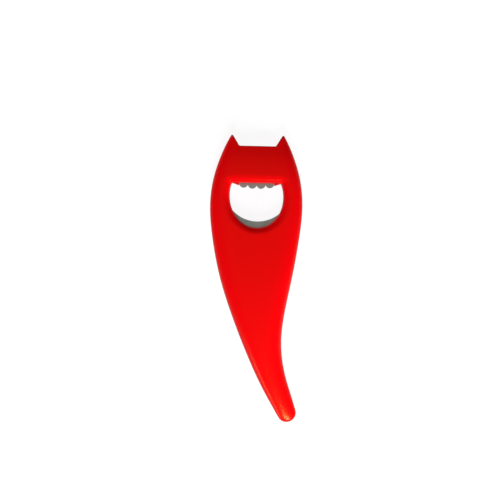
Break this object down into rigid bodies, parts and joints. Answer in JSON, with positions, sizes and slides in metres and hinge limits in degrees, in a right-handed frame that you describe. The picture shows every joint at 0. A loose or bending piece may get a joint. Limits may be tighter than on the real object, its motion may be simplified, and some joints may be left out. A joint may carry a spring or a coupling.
{
  "type": "bottle opener",
  "caption": "Crown-cap bottle opener with a horned red plastic body, a mouth-shaped hole with steel teeth and lifting lip, and a curved tapering handle.",
  "frame": {"origin": "centre of the part's footprint, on the flat back that it rests on", "axes": "+X across the head to the right as seen from the front, +Y from the tail to the horns, +Z out of the front"},
  "size_m": [0.0498, 0.1541, 0.0164],
  "materials": {
    "red_plastic": "glossy moulded red plastic",
    "steel": "plain stamped steel with a fine grain"
  },
  "bodies": {
    "root": {"front_shell": "red_plastic", "back_shell": "red_plastic", "steel_insert": "steel"}
  },
  "joints": []
}
